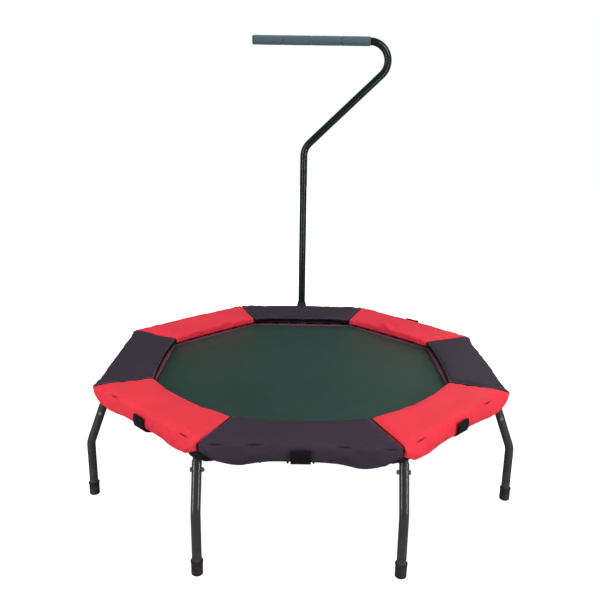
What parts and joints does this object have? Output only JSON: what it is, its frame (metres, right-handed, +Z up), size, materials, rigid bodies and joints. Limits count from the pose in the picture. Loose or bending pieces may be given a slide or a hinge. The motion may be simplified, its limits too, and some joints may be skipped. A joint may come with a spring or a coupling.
{
  "type": "mini trampoline",
  "caption": "Octagonal fitness trampoline with bent legs, padded edge cover, elastic-cord mat and a bent single-post balance handle.",
  "frame": {"origin": "centre of the octagonal frame on the floor plane", "axes": "+Z up, +Y towards the rear side that carries the handle, +X to the right of a user facing the handle"},
  "size_m": [1.2828, 1.3024, 1.4125],
  "materials": {
    "frame_paint": "satin powder coat",
    "leg_paint": "glossy grey-black coat",
    "mast_paint": "satin dark green-grey coat",
    "foot_rubber": "matt moulded rubber",
    "pad_charcoal": "coated polyester, charcoal",
    "pad_red": "coated polyester, red",
    "black_webbing": "woven webbing",
    "gusset_fabric": "plain black cloth",
    "mat_weave": "tight woven polypropylene",
    "border_webbing": "magenta webbing",
    "elastic_cord": "braided elastic cord",
    "ring_steel": "zinc plated",
    "bolt_steel": "zinc plated",
    "black_plastic": "moulded plastic",
    "grip_foam": "closed-cell foam"
  },
  "bodies": {
    "frame": {"frame_rail_front": "frame_paint", "frame_rail_front_right": "frame_paint", "frame_rail_right": "frame_paint", "frame_rail_rear_right": "frame_paint", "frame_rail_rear": "frame_paint", "frame_rail_rear_left": "frame_paint", "frame_rail_left": "frame_paint", "frame_rail_front_left": "frame_paint", "leg_1": "leg_paint", "leg_2": "leg_paint", "leg_3": "leg_paint", "leg_4": "leg_paint", "leg_5": "leg_paint", "leg_6": "leg_paint", "leg_7": "leg_paint", "leg_8": "leg_paint", "foot_cap_1": "foot_rubber", "foot_cap_2": "foot_rubber", "foot_cap_3": "foot_rubber", "foot_cap_4": "foot_rubber", "foot_cap_5": "foot_rubber", "foot_cap_6": "foot_rubber", "foot_cap_7": "foot_rubber", "foot_cap_8": "foot_rubber", "pad_panel_front": "pad_charcoal", "pad_panel_front_right": "pad_red", "pad_panel_right": "pad_charcoal", "pad_panel_rear_right": "pad_red", "pad_panel_rear": "pad_charcoal", "pad_panel_rear_left": "pad_red", "pad_panel_left": "pad_charcoal", "pad_panel_front_left": "pad_red", "leg_spigots": "frame_paint", "leg_bolts": "bolt_steel", "leg_nuts": "bolt_steel", "cover_straps": "black_webbing", "corner_gussets": "gusset_fabric", "bungee_loops": "elastic_cord", "socket_tube": "frame_paint", "mast_collar": "black_plastic", "rail_bracket": "frame_paint", "brace_tube": "frame_paint", "brace_clamps": "frame_paint", "clamp_bolts": "bolt_steel", "clamp_boss": "frame_paint"},
    "mat": {"jump_mat": "mat_weave", "mat_border": "border_webbing", "ring_tabs": "border_webbing", "d_rings": "ring_steel"},
    "mast": {"mast_tube": "mast_paint", "foam_grip": "grip_foam", "grip_end_cap": "black_plastic", "mast_foot_plug": "black_plastic"},
    "clamp_stud": {"clamp_stud": "bolt_steel"},
    "clamp_knob": {"clamp_knob": "black_plastic"}
  },
  "joints": [
    {"name": "mat_bounce", "type": "slide", "parent": "frame", "child": "mat", "axis": [0, 0, 1], "range_m": [-0.12, 0], "stiffness_N_per_m": 8000, "deforming": ["bungee_loops"]},
    {"name": "mast_height", "type": "slide", "parent": "frame", "child": "mast", "axis": [0, 0, 1], "range_m": [0, 0.1]},
    {"name": "clamp_screw_travel", "type": "slide", "parent": "frame", "child": "clamp_stud", "axis": [-1, 0, 0], "range_m": [0, 0.00525]},
    {"name": "clamp_knob_turn", "type": "hinge", "parent": "clamp_stud", "child": "clamp_knob", "pos_m": [-0.047, 0.64, 0.27], "axis": [-1, 0, 0], "range_deg": [0, 1260]}
  ],
  "couplings": [
    {"joint": "clamp_knob_turn", "follows": "clamp_screw_travel", "rad_per_m": 4188.8}
  ]
}
